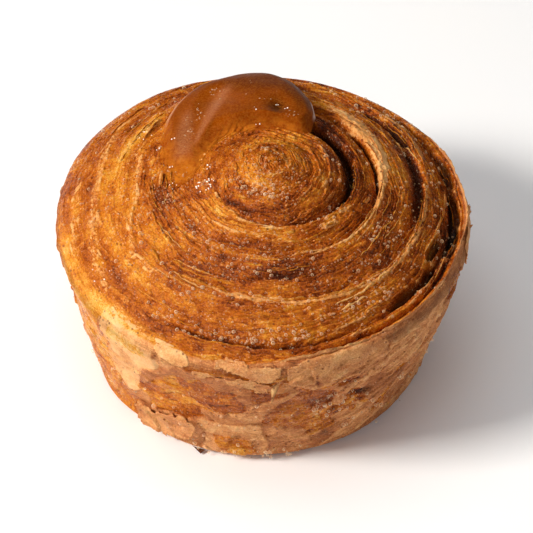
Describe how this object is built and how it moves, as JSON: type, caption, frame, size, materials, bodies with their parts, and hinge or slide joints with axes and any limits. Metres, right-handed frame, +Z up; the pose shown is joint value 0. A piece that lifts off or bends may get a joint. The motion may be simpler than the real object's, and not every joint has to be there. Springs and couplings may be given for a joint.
{
  "type": "cruffin",
  "caption": "Round pastry of spiralled laminated dough with a domed coiled crown, tapered wrapped wall, sugar grains and a set pool of caramel on top.",
  "frame": {"origin": "centre of the flat base that the pastry stands on", "axes": "+Z up through the middle of the crown, -Y towards the front, where the outer wrap ends; the caramel lies on the +Y side"},
  "size_m": [0.0896, 0.0915, 0.0539],
  "materials": {
    "crust": "baked laminated pastry crust, golden to red-brown, satin where the egg wash and syrup lie, matte and pale on torn layers, with clear sugar grains",
    "caramel": "smooth set caramel, glossy, amber brown"
  },
  "bodies": {
    "root": {"pastry": "crust", "caramel": "caramel"}
  },
  "joints": []
}
